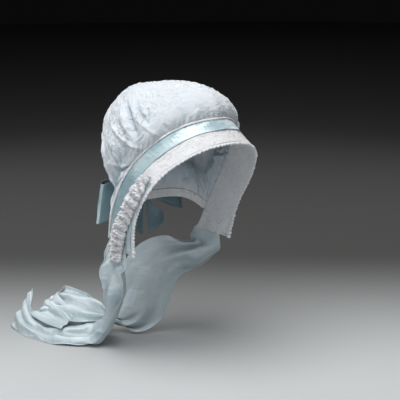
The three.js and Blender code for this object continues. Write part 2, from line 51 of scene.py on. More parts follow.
# Measures of the solids, the same here
BAND_WALL, CROWN_WALL, RIBBON_WALL, CASING_WALL = 1.6, 1.5, 1.0, 1.6
ARCH_ROUNDNESS = 2.2
CROWN_HALF_WIDTH, CROWN_DEPTH, CROWN_RISE, CROWN_SEAM_END = 95, 164, 54, 0.82
GATHER_DEPTH, GATHER_COUNT, GATHER_REACH, FOLD_DEPTH = 2.4, 20, 0.12, 6
LOOP_SEAM_SHARE = 0.69
NAPE_BACK, NAPE_DROP, NAPE_BAND_HEIGHT = 114, 108, 12
RIBBON_LIFT = BAND_WALL / 2 + SEAM_GAP + RIBBON_WALL / 2
RUCHE_LIFT = RIBBON_LIFT + RIBBON_WALL / 2 + SEAM_GAP
BAND_RIBBON_END, BAND_RIBBON_ACROSS = 0.93, (0.52, 0.98)
SIDE_RIBBON_DOWN, SIDE_RIBBON_ACROSS = (0.5, 0.985), (0.05, 0.24)
BINDING_WIDTH, BINDING_THICKNESS, BINDING_SWELL = 3.2, 2.6, 0.7
KNOT_WIDTH, KNOT_HEIGHT, KNOT_DEPTH = 20, 24, 16
KNOT_BACK = NAPE_BACK + CASING_WALL / 2 + SEAM_GAP + KNOT_DEPTH / 2
BOW_CENTRE = np.array([0, KNOT_BACK, -NAPE_DROP - NAPE_BAND_HEIGHT / 2])
LOOP_REACH, LOOP_HEIGHT, LOOP_PARTING, LOOP_FULLNESS = 62, 56, 3, 16
LOOP_LEAN, LOOP_DROOP, LOOP_SLANT = 12.4, 1.24, 0.17
TAIL_FALL, TAIL_WIDTH, TAIL_SPLAY, TAIL_SLANT, TAIL_WAVE = 48, 26, 4.8, 0.25, 2.5
RUCHE_PUFFS, RUCHE_HALF_WIDTH, RUCHE_HEIGHT, RUCHE_DOWN = 11, 13, 8, (0.47, 1.065)
TIE_WIDTH, TIE_PLEATS = 96, 2.5

# The visual cloth: its own thin walls, small folds that the solids leave out, and grid steps
SATIN_WALL, RUCHE_WALL = 0.5, 0.6
RUCHE_WRINKLES, CASING_PLEATS = 27, 34
CROWN_GRID = 430, 110
ARCH_STEPS, FALL_STEPS, PAST_HEM = 48, 20, 1.4


# Numbers along tables and over surfaces

def mix(a, b, share):
    return a + (b - a) * share


def ease(share):
    u = np.clip(share, 0, 1)
    return u * u * (3 - 2 * u)


def bump(offset):
    return np.exp(-offset * offset)


def columns(names, rows):
    """A table as one array for each named column."""
    return dict(zip(names.split(), np.array(rows, float).T))


def along(table, column, at):
    """A smooth value between rows: a cubic whose slope at a row is that of its two neighbours."""
    x, y = table["at"], table[column]
    order = np.arange(len(x))
    low, high = np.maximum(order - 1, 0), np.minimum(order + 1, len(x) - 1)
    slope = (y[high] - y[low]) / (x[high] - x[low])
    i = np.clip(np.searchsorted(x, at, side="left") - 1, 0, len(x) - 2)
    span = x[i + 1] - x[i]
    u = np.clip((at - x[i]) / span, 0, 1)
    pull = span * (slope[i] * u * (1 - u) ** 2 - slope[i + 1] * u * u * (1 - u))
    return mix(y[i], y[i + 1], ease(u)) + pull


def mirrored(table, place, flipped=()):
    """The same rows on both sides of `place`, with the flipped columns negated there."""
    keep = table["at"] != place
    at = np.concatenate([table["at"], 2 * place - table["at"][keep]])
    order = np.argsort(at)
    out = {"at": at[order]}
    for name, values in table.items():
        if name != "at":
            other = -values[keep] if name in flipped else values[keep]
            out[name] = np.concatenate([values, other])[order]
    return out


def wander(seed, *axes, waves=9):
    """Smooth wandering value of about -1 to 1: a sum of sine waves of seeded pace and phase.
    Each axis is scaled so that one unit is about one soft bump."""
    rng = np.random.default_rng(seed)
    total = 0
    for _ in range(waves):
        pace = rng.normal(0, 0.6, len(axes))
        turn = rng.uniform(0, 2 * math.pi)
        total = total + np.cos(2 * math.pi * sum(p * a for p, a in zip(pace, axes)) + turn)
    return total / math.sqrt(waves)


def unit(vectors):
    return vectors / np.maximum(np.linalg.norm(vectors, axis=-1, keepdims=True), 1e-12)


def stack(x, y, z):
    return np.stack(np.broadcast_arrays(x, y, z), axis=-1).astype(float)


def lattice(columns_count, rows_count):
    """Shares u down the first axis and v down the second."""
    u = np.linspace(0, 1, columns_count + 1)[:, None]
    v = np.linspace(0, 1, rows_count + 1)[None, :]
    return np.broadcast_arrays(u, v)


def normals_of(points, ring=False, pole=False):
    """Cross product of the surface's two directions at each point of its grid."""
    if ring:
        du = np.roll(points, -1, 0) - np.roll(points, 1, 0)
    else:
        du = np.gradient(points, axis=0)
    dv = np.gradient(points, axis=1)
    normal = unit(np.cross(du, dv))
    if pole:
        normal[:, -1] = unit(normal[:, -2].mean(0))
    return normal


# The band's surface

def arch(top, spring, hem, half_width, hem_half_width, front, back, setback):
    """Half an arch: a superellipse quarter above the spring line and a straight fall to the hem,
    walked by share of its length, and carried from front to back by the setback table. The
    fall goes on past the hem, for trims that overhang it."""
    table = mirrored(columns("at share", setback), 0)
    angle = np.linspace(0, math.pi / 2, ARCH_STEPS + 1)
    fall = np.linspace(0, PAST_HEM, round(PAST_HEM * FALL_STEPS) + 1)[1:]
    out = np.concatenate([half_width * np.sin(angle) ** (2 / ARCH_ROUNDNESS),
                          mix(half_width, hem_half_width, fall * np.minimum(fall, 2 - fall))])
    up = np.concatenate([mix(spring, top, np.clip(np.cos(angle), 0, 1) ** (2 / ARCH_ROUNDNESS)),
                         mix(spring, hem, fall)])
    lengths = np.concatenate([[0], np.cumsum(np.hypot(np.diff(out), np.diff(up)))])
    total = lengths[ARCH_STEPS + FALL_STEPS]

    def curve(side):
        reach = np.abs(side) * total
        return stack(np.sign(side) * np.interp(reach, lengths, out),
                     mix(front, back, along(table, "share", np.clip(np.abs(side), 0, 1))),
                     np.interp(reach, lengths, up))
    return curve


edge_curve = arch(-19, -101, -176, 91, 84, -60, 40,
                  [(0, 0), (0.25, 0.13), (0.5, 0.5), (0.75, 0.85), (1, 1)])
seam_curve = arch(8, -88, -172, 88, 78, -34, 101,
                  [(0, 0), (0.25, 0.21), (0.5, 0.55), (0.75, 0.82), (1, 1)])


def band_point(side, across):
    """Straight line from the front edge (0) to the seam (1)."""
    side, across = np.broadcast_arrays(side, across)
    return mix(edge_curve(side), seam_curve(side), across[..., None])


def band_across(side):
    return unit(seam_curve(side) - edge_curve(side))


def band_normal(side, across):
    """Outward normal from small steps along and across the band."""
    side, across = np.broadcast_arrays(np.clip(side, -0.99, 0.99), across)
    step = 1e-3
    down = band_point(side + step, across) - band_point(side - step, across)
    over = band_point(side, across + step) - band_point(side, across - step)
    return unit(np.cross(down, over))


def on_band(side, across, lift):
    lift = np.broadcast_arrays(side, across, lift)[2]
    return band_point(side, across) + band_normal(side, across) * lift[..., None]


# Meshes

def make_mesh(name, corners, faces, material, uv):
    """A smooth-shaded piece on the root body, with a place on the cloth for each corner."""
    mesh = bpy.data.meshes.new(name)
    mesh.from_pydata((corners * MM).tolist(), [], faces)
    mesh.validate()
    layer = mesh.uv_layers.new(name="cloth")
    loops = np.empty(len(mesh.loops), dtype=np.int32)
    mesh.loops.foreach_get("vertex_index", loops)
    layer.data.foreach_set("uv", uv[loops].astype(np.float32).ravel())
    mesh.polygons.foreach_set("use_smooth", np.ones(len(mesh.polygons), dtype=bool))
    mesh.materials.append(material)
    piece = bpy.data.objects.new(name, mesh)
    bpy.context.scene.collection.objects.link(piece)
    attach(piece, "root")
    return piece


def grid_faces(n, m, ring):
    """Quads of an n by m grid of corners, closed round the first axis for a ring."""
    i = np.arange(n if ring else n - 1)[:, None]
    j = np.arange(m - 1)[None, :]
    k = (i + 1) % n
    corners = np.stack([i * m + j, k * m + j, k * m + j + 1, i * m + j + 1], axis=-1)
    return corners.reshape(-1, 4).tolist()


def cloth_uv(points, ring):
    """Metres along and across, from the mean spacing of the grid."""
    step_u = np.linalg.norm(np.diff(points, axis=0), axis=-1).mean(1)
    step_v = np.linalg.norm(np.diff(points, axis=1), axis=-1).mean(0)
    run_u = np.concatenate([[0], np.cumsum(step_u)])
    run_v = np.concatenate([[0], np.cumsum(step_v)])
    return stack(run_u[:, None], run_v[None, :], 0)[..., :2].reshape(-1, 2) * MM


def close_uv(mesh, around):
    """Faces across a ring's closing line reach from the end of the run back to its start, so their
    corners at the start are moved on by the whole run."""
    starts, sides = (np.empty(len(mesh.polygons), dtype=np.int32) for _ in range(2))
    mesh.polygons.foreach_get("loop_start", starts)
    mesh.polygons.foreach_get("loop_total", sides)
    uv = np.empty(2 * len(mesh.loops), dtype=np.float32)
    mesh.uv_layers["cloth"].data.foreach_get("uv", uv)
    high = np.repeat(np.maximum.reduceat(uv[::2], starts), sides)
    uv[::2] += around * (high - uv[::2] > around / 2)
    mesh.uv_layers["cloth"].data.foreach_set("uv", uv)


def cloth(name, points, wall, material, ring=False, pole=False, painted_shade=0.0):
    """A sheet on a grid of points, thickened evenly on both sides. With a pole, the last row of
    points is one corner at the surface's end. `painted_shade` says how much painted shade each
    point takes."""
    n, m = points.shape[:2]
    uv = cloth_uv(points, ring)
    corners = points.reshape(-1, 3)
    painted_shade = np.clip(np.broadcast_to(painted_shade, (n, m)), 0, 1)
    if pole:
        faces = grid_faces(n, m - 1, ring)
        corners = np.vstack([points[:, :-1].reshape(-1, 3), points[:, -1].mean(0)])
        uv = uv.reshape(n, m, 2)
        uv = np.vstack([uv[:, :-1].reshape(-1, 2), uv[:, -1].mean(0)])
        painted_shade = np.append(painted_shade[:, :-1], 0)
        tip = len(corners) - 1
        faces += [[i * (m - 1) + m - 2, ((i + 1) % n) * (m - 1) + m - 2, tip] for i in range(n)]
    else:
        faces = grid_faces(n, m, ring)
    piece = make_mesh(name, corners, faces, material, uv)
    if ring:
        step = np.linalg.norm(points[0] - points[-1], axis=-1).mean() * MM
        close_uv(piece.data, uv[:, 0].max() + step)
    # Stored on the mesh, where the material turns it into painted shade.
    layer = piece.data.attributes.new("painted_shade", "FLOAT", "POINT")
    layer.data.foreach_set("value", painted_shade.astype(np.float32).ravel())
    solidify = piece.modifiers.new("wall", "SOLIDIFY")
    solidify.thickness = wall * MM
    solidify.offset = 0
    return piece


def tube(name, path, wide, thick, material, sides, side_dir):
    """An ellipse carried along a path, wide along side_dir and thick across it. The widths may
    change along the path, and both ends are closed by a cap."""
    tangent = unit(np.gradient(path, axis=0))
    side = unit(side_dir - tangent * (side_dir * tangent).sum(-1, keepdims=True))
    up = np.cross(tangent, side)
    turn = np.linspace(0, 2 * math.pi, sides, endpoint=False)
    wide, thick = (np.broadcast_to(w, len(path))[:, None, None] / 2 for w in (wide, thick))
    points = (path[:, None] + side[:, None] * np.cos(turn)[None, :, None] * wide
              + up[:, None] * np.sin(turn)[None, :, None] * thick)
    n, m = len(path), sides
    i, j = np.arange(n - 1)[:, None], np.arange(m)[None, :]
    k = (j + 1) % m
    rings = np.stack([i * m + j, i * m + k, (i + 1) * m + k, (i + 1) * m + j], -1)
    faces = rings.reshape(-1, 4).tolist()
    faces += [list(range(m - 1, -1, -1)), [(n - 1) * m + s for s in range(m)]]
    run = np.concatenate([[0], np.cumsum(np.linalg.norm(np.diff(path, axis=0), axis=-1))])
    uv = stack(run[:, None], turn[None, :], 0)[..., :2].reshape(-1, 2) * MM
    return make_mesh(name, points.reshape(-1, 3), faces, material, uv)


# Materials

class Term:
    """A shader number that can be used in Python sums; each sum adds one Math node."""

    def __init__(self, finish, socket):
        self.finish = finish
        self.socket = socket

    def math(self, operation, *values):
        return self.finish.term("ShaderNodeMath", {"operation": operation}, dict(enumerate(values)))

    def __add__(self, other):
        return self.math("ADD", self, other)

    __radd__ = __add__

    def __sub__(self, other):
        return self.math("SUBTRACT", self, other)

    def __rsub__(self, other):
        return self.math("SUBTRACT", other, self)

    def __mul__(self, other):
        return self.math("MULTIPLY", self, other)

    def sine(self):
        return self.math("SINE", self)

    def step(self, low, high):
        """0 below `low` and 1 above `high`, smooth between them."""
        values = {"Value": self, "From Min": low, "From Max": high}
        return self.finish.term("ShaderNodeMapRange", {"interpolation_type": "SMOOTHSTEP"}, values)


class Finish:
    """One material and the nodes that make it."""

    def __init__(self, name):
        self.material = bpy.data.materials.new(name)
        self.material.use_nodes = True
        self.tree = self.material.node_tree
        self.tree.nodes.clear()
        self.surface = self.node("ShaderNodeBsdfPrincipled", {}, {})
        self.node("ShaderNodeOutputMaterial", {}, {"Surface": self.surface.outputs[0]})

    def put(self, socket, value):
        """Link a node's output to the socket, or set the constant on it."""
        source = value.socket if isinstance(value, Term) else value
        if isinstance(source, bpy.types.NodeSocket):
            self.tree.links.new(source, socket)
        else:
            socket.default_value = source

    def node(self, kind, settings, values):
        node = self.tree.nodes.new(kind)
        for key, value in settings.items():
            setattr(node, key, value)
        for key, value in values.items():
            self.put(node.inputs[key], value)
        return node

    def term(self, kind, settings, values, output=0):
        return Term(self, self.node(kind, settings, values).outputs[output])

    def place(self, stretch=(1, 1, 1), uv=True):
        """Cloth coordinates in metres, or the object's own, each stretched."""
        if uv:
            source = self.node("ShaderNodeUVMap", {"uv_map": "cloth"}, {}).outputs["UV"]
        else:
            source = self.node("ShaderNodeTexCoord", {}, {}).outputs["Object"]
        return self.node("ShaderNodeMapping", {}, {"Vector": source, "Scale": stretch}).outputs[0]

    def first_two(self, vector):
        """The first two coordinates of a place."""
        parts = self.node("ShaderNodeSeparateXYZ", {}, {0: vector})
        return Term(self, parts.outputs[0]), Term(self, parts.outputs[1])

    def noise(self, place, scale, detail=3.0, rough=0.5):
        values = {"Vector": place, "Scale": scale, "Detail": detail, "Roughness": rough}
        return self.term("ShaderNodeTexNoise", {}, values)

    def blend(self, share, first, second):
        node = self.node("ShaderNodeMix", {"data_type": "RGBA"}, {0: share})
        for slot, colour in ((6, first), (7, second)):
            self.put(node.inputs[slot], (*colour, 1) if isinstance(colour, tuple) else colour)
        return node.outputs[2]

    def with_painted_shade(self, colour, deep):
        """The colour, turning to a painted shade colour by the cloth's `painted_shade` value."""
        painted_shade = self.term("ShaderNodeAttribute", {"attribute_name": "painted_shade"}, {}, "Fac")
        return self.blend(painted_shade, colour, deep)

    def relief(self, *layers):
        """Bump nodes in a chain, each from a height and its depth in metres."""
        normal = None
        for height, depth in layers:
            values = {"Height": height, "Distance": depth, "Strength": 1.0}
            if normal is not None:
                values["Normal"] = normal
            normal = self.node("ShaderNodeBump", {}, values).outputs[0]
        self.tree.links.new(normal, self.surface.inputs["Normal"])

    def wear(self, **values):
        """Constants and links on the surface shader's own sockets."""
        for key, value in values.items():
            self.put(self.surface.inputs[key.replace("_", " ")], value)
        return self.material


def weave(finish, pitch):
    """Plain weave: two crossed rows of threads, `pitch` metres apart."""
    across, up = finish.first_two(finish.place())
    turn = 2 * math.pi / pitch
    return (across * turn).sine() * (up * turn).sine()


def scrolls(finish, cell, line):
    """Small curls worked in white thread: in each cell a spiral line round the cell's middle, and
    rings that die away before the cell's edge."""
    place = finish.place((1, 1, 0))
    waver = finish.noise(place, 160.0, 2.0)
    settings = {"voronoi_dimensions": "2D", "feature": "F1"}
    cells = finish.node("ShaderNodeTexVoronoi", settings,
                        {"Vector": place, "Scale": 1 / cell, "Randomness": 0.85})
    middle = finish.node("ShaderNodeVectorMath", {"operation": "SUBTRACT"},
                         {0: place, 1: cells.outputs["Position"]}).outputs[0]
    across, up = finish.first_two(middle)
    angle = across.math("ARCTAN2", up, across)
    far = Term(finish, cells.outputs["Distance"])
    spiral = (angle + far * 17.0 + waver * 5.0).sine().step(line, 1.0)
    return spiral * (1 - far.step(0.3, 0.5))


def white_cloth(name, tint, figured, threads):
    """Fine white cotton: a plain weave, soft creases, a little colour drift, a cooler painted shade
    in its folds, and white-on-white scrolls where it is figured."""
    finish = Finish(name)
    body = finish.place((1, 1, 1), uv=False)
    cloud = finish.noise(body, 22.0, 4.0)
    slub = finish.noise(finish.place((60, 900, 1)), 1.0, 3.0)
    crease = finish.noise(body, 90.0, 3.0, 0.6)
    fleck = finish.noise(body, 380.0, 2.0, 0.6)
    shade = (cloud * 0.35 + slub * 0.2 + fleck * 0.45).step(0.36, 0.64)
    colour = finish.blend(shade, tuple(c * 0.88 for c in tint), tint)
    layers = [(crease, 0.0012), (fleck, 0.0005), (weave(finish, threads), 0.00012)]
    rough = 0.86 - slub * 0.08
    if figured:
        curls = scrolls(finish, 0.017, 0.35) * finish.noise(body, 14.0, 2.0).step(0.42, 0.6)
        layers.insert(1, (curls, 0.0016))
        colour = finish.blend(curls, colour, tuple(min(c * 1.1, 1) for c in tint))
        rough = rough - curls * 0.25
    finish.relief(*layers)
    # Painted shade: the colour turns to a cool blue grey where the piece lies in a fold or dip.
    return finish.wear(Base_Color=finish.with_painted_shade(colour, WHITE_PAINTED_SHADE), Roughness=rough,
                       Sheen_Weight=0.25, Sheen_Roughness=0.5, Specular_IOR_Level=0.35)


def satin(name, lit, shade, gloss, coat):
    """Satin ribbon: warp threads in long fine streaks, cross ribs too fine to count, a soft gloss
    that drifts along the ribbon, faint creases across it, a painted sheen that drifts between a
    lit tone and a shade tone, and half the shade tone painted into its folds as painted shade."""
    finish = Finish(name)
    body = finish.place((1, 1, 1), uv=False)
    streak = finish.noise(finish.place((14, 1500, 1)), 1.0, 3.0)
    cloud = finish.noise(body, 30.0, 3.0)
    crease = finish.noise(finish.place((160, 26, 1)), 1.0, 4.0, 0.55)
    # Painted sheen and shade: cloudy patches and streaks between a lit tone and a shade tone.
    colour = finish.blend((cloud * 0.55 + streak * 0.45).step(0.3, 0.72), shade, lit)
    # Painted shade: half the shade tone where the piece lies in a fold.
    colour = finish.with_painted_shade(colour, tuple(0.5 * c for c in shade))
    finish.relief((crease, 0.0016), (streak, 0.00015), (weave(finish, 0.0005), 0.00005))
    return finish.wear(Base_Color=colour, Roughness=gloss + streak * 0.12 + cloud * 0.08,
                       Metallic=0.12, Coat_Weight=coat, Coat_Roughness=0.3, Coat_IOR=1.7,
                       Specular_IOR_Level=0.9)


# The cool blue grey painted into the white cloths' folds as painted shade.
WHITE_PAINTED_SHADE = (0.36, 0.47, 0.54)
CROWN_CLOTH = white_cloth("figured_white_cotton", (0.80, 0.85, 0.90), True, 0.0006)
BAND_CLOTH = white_cloth("smooth_white_cotton", (0.95, 0.95, 0.97), True, 0.0005)
TRIM_CLOTH = white_cloth("gathered_white_trim", (0.95, 0.94, 0.96), False, 0.0005)
RIBBON_SATIN = satin("pale_blue_satin", (0.68, 0.80, 0.83), (0.26, 0.42, 0.47), 0.32, 1.0)
# The bow's knot and tails wear the blue satin darkened as painted shade.
SHADED_BOW_SATIN = satin("bow_satin_painted_shade", (0.11, 0.21, 0.25), (0.05, 0.12, 0.15), 0.34, 0.3)
# Loop satin: a darker shade tone for the leaves' painted shade, a pale lit tone for the painted
# highlight on the outer fold.
LOOP_SATIN = satin("loop_blue_satin", (0.64, 0.76, 0.79), (0.13, 0.27, 0.32), 0.34, 0.3)
TIE_SATIN = satin("tie_blue_satin", (0.68, 0.76, 0.79), (0.46, 0.56, 0.60), 0.34, 0.3)


# The crown

def gather_line(turn):
    """The seam arch, then round the nape: a quarter of an oval on each side, easing down to the
    nape. turn is 0 at the top of the arch and 1 or -1 at the middle of the nape."""
    share = np.abs(turn)
    sign = np.where(turn < 0, -1, 1)
    side = sign * np.minimum(share / LOOP_SEAM_SHARE, 1) * CROWN_SEAM_END
    start = seam_curve(side) + band_across(side) * (SEAM_GAP + CROWN_WALL / 2)
    quarter = np.maximum((share - LOOP_SEAM_SHARE) / (1 - LOOP_SEAM_SHARE), 0) * math.pi / 2
    around = np.sin(quarter)
    return stack(start[..., 0] * np.cos(quarter), mix(start[..., 1], NAPE_BACK, around),
                 mix(start[..., 2], -NAPE_DROP, ease(around)))


# Two rings of control points between the gather line and the back of the bag, on the right half
CROWN_RINGS = mirrored(mirrored(columns("at out1 back1 up1 out2 back2 up2", [
    (0, 0, -0.34, 0.95, 0, 0.31, 1.06),
    (0.35, 1.06, -0.04, 0.66, 0.67, 0.55, 1.07),
    (0.52, 1.06, 0.27, 0.46, 0.9, 0.76, 1),
    (0.69, 0.88, 0.41, 0.28, 0.81, 1, 0.88),
    (0.85, 0.68, 0.63, 0.39, 0.71, 1.21, 0.74),
    (1, 0, 0.75, 0.36, 0, 1.3, 0.76),
]), 0, ("out1", "out2")), 1, ("out1", "out2"))
CROWN_BACK = (0, 0.66, 0.93)


def crown_base(turn, reach):
    """Cubic curve from the gather line over two rings of control points to the back of the bag."""
    sign, share = np.where(turn < 0, -1, 1), np.abs(turn)

    def control(out, back, up):
        return stack(out * CROWN_HALF_WIDTH, back * CROWN_DEPTH, mix(-NAPE_DROP, CROWN_RISE, up))

    def ring(k):
        out, back, up = (along(CROWN_RINGS, f"{name}{k}", share) for name in ("out", "back", "up"))
        return control(sign * out, back, up)
    rest = 1 - reach
    weights = (rest ** 3, 3 * rest ** 2 * reach, 3 * rest * reach ** 2, reach ** 3)
    lines = (gather_line(turn), ring(1), ring(2), control(*CROWN_BACK))
    return sum(w[..., None] * line for w, line in zip(weights, lines))


# Broad folds that run back from the gather line: where each starts, how far it drifts, the reach
# it covers, its width and its depth as a share of FOLD_DEPTH
CROWN_FOLDS = columns("turn drift from to width depth", [
    (-0.36, 0.04, 0.04, 0.55, 0.018, -0.6), (-0.45, 0.07, 0.05, 0.62, 0.02, -0.9),
    (-0.53, 0.08, 0.04, 0.6, 0.018, -0.7), (-0.6, 0.05, 0.04, 0.45, 0.016, -0.5),
    (-0.12, -0.03, 0.03, 0.4, 0.02, -0.5), (0.1, 0.04, 0.03, 0.42, 0.02, -0.6),
    (0.33, -0.05, 0.04, 0.55, 0.02, -0.8), (0.46, -0.06, 0.05, 0.6, 0.018, -0.7),
    (0.58, -0.05, 0.04, 0.5, 0.018, -0.6), (-0.8, 0.02, 0.03, 0.5, 0.02, -0.6),
    (0.83, -0.02, 0.03, 0.5, 0.02, -0.6),
])

# Creases seen on the bag: where each starts and ends as turn and reach, its width and its rise,
# and how far it leans over to one side
CREASES = [
    ((-0.405, 0.60), (-0.350, 0.20), 6.0, -5.2, 0.7),
    ((-0.345, 0.52), (-0.290, 0.24), 4.6, -4.0, 0.6),
    ((-0.282, 0.42), (-0.298, 0.27), 3.4, -2.6, 0.4),
    ((-0.452, 0.58), (-0.385, 0.22), 7.0, 2.8, 0.2),
    ((-0.365, 0.52), (-0.326, 0.24), 5.0, 2.4, 0.0),
    ((-0.530, 0.49), (-0.330, 0.03), 2.0, 2.6, -0.4),
    ((-0.470, 0.46), (-0.395, 0.24), 5.0, -1.4, 0.0),
    ((-0.330, 0.30), (-0.252, 0.02), 1.8, 2.0, -0.4),
    ((-0.242, 0.19), (-0.210, 0.03), 2.8, -2.2, 0.5),
    ((-0.205, 0.16), (-0.190, 0.02), 2.6, -1.6, 0.4),
    ((-0.640, 0.33), (-0.412, 0.03), 3.2, 3.0, 0.7),
    ((-0.590, 0.22), (-0.405, 0.01), 2.6, -5.0, 0.5),
    ((-0.700, 0.25), (-0.450, 0.01), 2.8, 2.0, 0.5),
    ((-0.680, 0.19), (-0.470, 0.01), 2.6, -2.0, 0.4),
    ((-0.560, 0.80), (-0.430, 0.62), 5.0, -1.6, 0.4),
    ((-0.160, 0.30), (-0.150, 0.03), 4.0, -1.2, 0.4),
    ((-0.080, 0.20), (-0.090, 0.02), 3.0, -1.0, 0.3),
    ((0.402, 0.58), (0.352, 0.22), 6.0, -4.4, -0.7),
    ((0.500, 0.50), (0.350, 0.05), 4.0, 2.8, 0.8),
    ((0.320, 0.44), (0.268, 0.06), 3.5, -2.4, 0.5),
    ((0.640, 0.33), (0.420, 0.03), 3.4, 2.8, -0.7),
    ((0.580, 0.22), (0.410, 0.01), 2.8, -4.4, -0.5),
    ((0.120, 0.30), (0.150, 0.04), 4.0, -1.4, 0.4),
    ((0.760, 0.56), (0.700, 0.30), 6.0, -2.4, 0.4),
    ((-0.800, 0.56), (-0.740, 0.32), 6.0, -2.4, 0.4),
    ((0.900, 0.62), (0.930, 0.34), 6.0, -2.2, 0.3),
    ((-0.930, 0.62), (-0.960, 0.34), 6.0, -2.2, 0.3),
]

# Cloth to one unit of turn and of reach, and the gathers too fine for the solids
TURN_SPAN, REACH_SPAN = 350, 250
FINE_GATHERS, FINE_REACH = 74, 0.045
NAPE_PLEATS, NAPE_REACH = 46, 0.1


def crease(turn, reach, start, end, width, rise, lean):
    """A ridge or valley between two places: rise * exp(-(off / width)^2), leaning by a share of
    off / width, and swelling from nothing at its ends."""
    x, y = (turn - start[0]) * TURN_SPAN, (reach - start[1]) * REACH_SPAN
    dx, dy = (end[0] - start[0]) * TURN_SPAN, (end[1] - start[1]) * REACH_SPAN
    length = math.hypot(dx, dy)
    way = (x * dx + y * dy) / length ** 2
    off = (x * dy - y * dx) / length / width
    swell = np.sin(math.pi * np.clip(way, 0, 1)) ** 0.7
    return rise * swell * bump(off) * (1 + lean * off)


def die_away(reach, peak):
    """Grows from 0 to 1 at the peak, then fades: r/p * exp(1 - r/p)."""
    return reach / peak * np.exp(1 - reach / peak)


def crown_relief(turn, reach):
    """Gathers that die away from the gather line, the bag's folds and creases, its overhang above
    the nape, and crumples, which are strongest over the top and calmer at the back."""
    phase, aside = math.pi * turn, np.abs(turn)
    ring_x, ring_y = 3.2 * np.cos(phase), 3.2 * np.sin(phase)
    loop = (ring_x, ring_y, reach * 3)
    jitter = 0.5 * wander(5, *loop)
    gathers = 0.5 * GATHER_DEPTH * die_away(reach, GATHER_REACH) * np.cos(GATHER_COUNT * phase)
    fine = (0.42 + 0.3 * wander(7, *loop)) * die_away(reach, FINE_REACH)
    total = gathers + fine * np.cos(FINE_GATHERS * phase + 4 * jitter)
    folds = 0
    for t, drift, low, high, width, depth in zip(*CROWN_FOLDS.values()):
        way = np.clip((reach - low) / (high - low), 0, 1)
        across = bump((turn - t - drift * way) / width)
        folds = folds + depth * np.sin(math.pi * way) ** 0.8 * across
    nape = ease((aside - 0.4) / 0.16)
    tuck = 0.9 * bump((reach - 0.35) / 0.1) - 1.5 * bump((reach - 0.16) / 0.07)
    total += FOLD_DEPTH * (0.25 * folds + nape * tuck)
    pleats = 1.6 * nape * die_away(reach, NAPE_REACH)
    total += pleats * np.cos(NAPE_PLEATS * phase + 3 * jitter)
    for start, end, width, rise, lean in CREASES:
        total += crease(turn, reach, start, end, width, rise, lean)
    open_cloth = ease(reach / 0.2) * ease((1 - reach) / 0.12)
    worked = ease((reach + 0.5 * aside - 0.34) / 0.2)
    crumple = wander(11, 2.6 * ring_x, 2.6 * ring_y, reach * 14, waves=16)
    ripple = wander(13, 6.5 * ring_x, 6.5 * ring_y, reach * 36, waves=30)
    calm = (1 - 0.7 * ease((reach - 0.5) / 0.2)) * (1 - 0.6 * ease((aside - 0.55) / 0.2))
    crumples = mix(0.35, 0.6, worked) * crumple + mix(0.1, 0.8, worked) * ripple * calm
    return total + open_cloth * crumples


def crown():
    """The bag's own surface with its relief along the normal. The grid is denser on the right of
    the top, where the finest creases are."""
    around, rows = CROWN_GRID
    turn = np.linspace(-1, 1, around, endpoint=False)[:, None]
    turn = turn - 0.4 * np.sin(math.pi * (turn + 0.38)) / math.pi
    reach = np.linspace(0, 1, rows + 1)[None, :]
    turn, reach = np.broadcast_arrays(turn, reach)
    base = crown_base(turn, reach)
    normal = normals_of(base, ring=True, pole=True)
    relief = crown_relief(turn, reach) * ease((1 - reach) / 0.06)
    points = base + normal * relief[..., None]
    # Painted shade in the bag's valleys and creases.
    painted_shade = 0.5 * ease((-relief - 0.3) / 4)
    piece = cloth("crown_bag", points, CROWN_WALL * 0.8, CROWN_CLOTH, ring=True,
                  pole=True, painted_shade=painted_shade)
    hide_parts("crown")


# The band and its trims

def front_band():
    """The band's own surface with shallow puckers by the seam, soft waves, and a fine uneven grain
    where it is worked."""
    u, v = lattice(440, 30)
    side = mix(-1, 1, u)
    puckers = 0.35 * bump((1 - v) / 0.12) * np.cos(150 * side + 3 * wander(21, side * 6, v))
    soft = 0.35 * wander(22, side * 9, v * 1.5)
    worked = 0.3 * wander(23, side * 110, v * 13, waves=24)
    lift = (puckers + soft) * (1 - ease((np.abs(side) - 0.4) / 0.2) * 0.8) + worked
    points = on_band(side, v, np.clip(lift * ease(v / 0.04), -0.6, 0.3))
    # Painted shade in the dips of the worked grain.
    painted_shade = 0.35 * ease((-0.1 - worked) / 0.8)
    piece = cloth("front_band_cloth", points, BAND_WALL * 0.8, BAND_CLOTH,
                  painted_shade=painted_shade)
    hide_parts("front_band")


def edge_roll():
    """Rolled binding: an ellipse along the front edge, fuller towards each hem, with small
    puckers where the stitches draw it in."""
    side = np.linspace(-1, 1, 900)
    swell = 1 + BINDING_SWELL * np.abs(side) ** 12
    draw = 1 + 0.2 * np.cos(260 * side) + 0.16 * wander(31, side * 70)
    wide = BINDING_WIDTH * swell * draw
    path = on_band(side, 0.0, 0.0) - band_across(side) * (SEAM_GAP + wide / 2)[:, None]
    piece = tube("edge_roll", path, wide, BINDING_THICKNESS * swell * draw, TRIM_CLOTH,
                 12, band_across(side))
    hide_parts("edge_binding")


def seam_piping():
    """Thin white selvage that stands just past the ribbon along the seam."""
    side = np.linspace(-0.95, 0.95, 700)
    wave = 0.25 * wander(33, side * 40)
    path = on_band(side, 0.99, RIBBON_LIFT + 1.2 + wave)
    tube("seam_selvage", path, 3.2, 2.2, TRIM_CLOTH, 10, band_across(side))


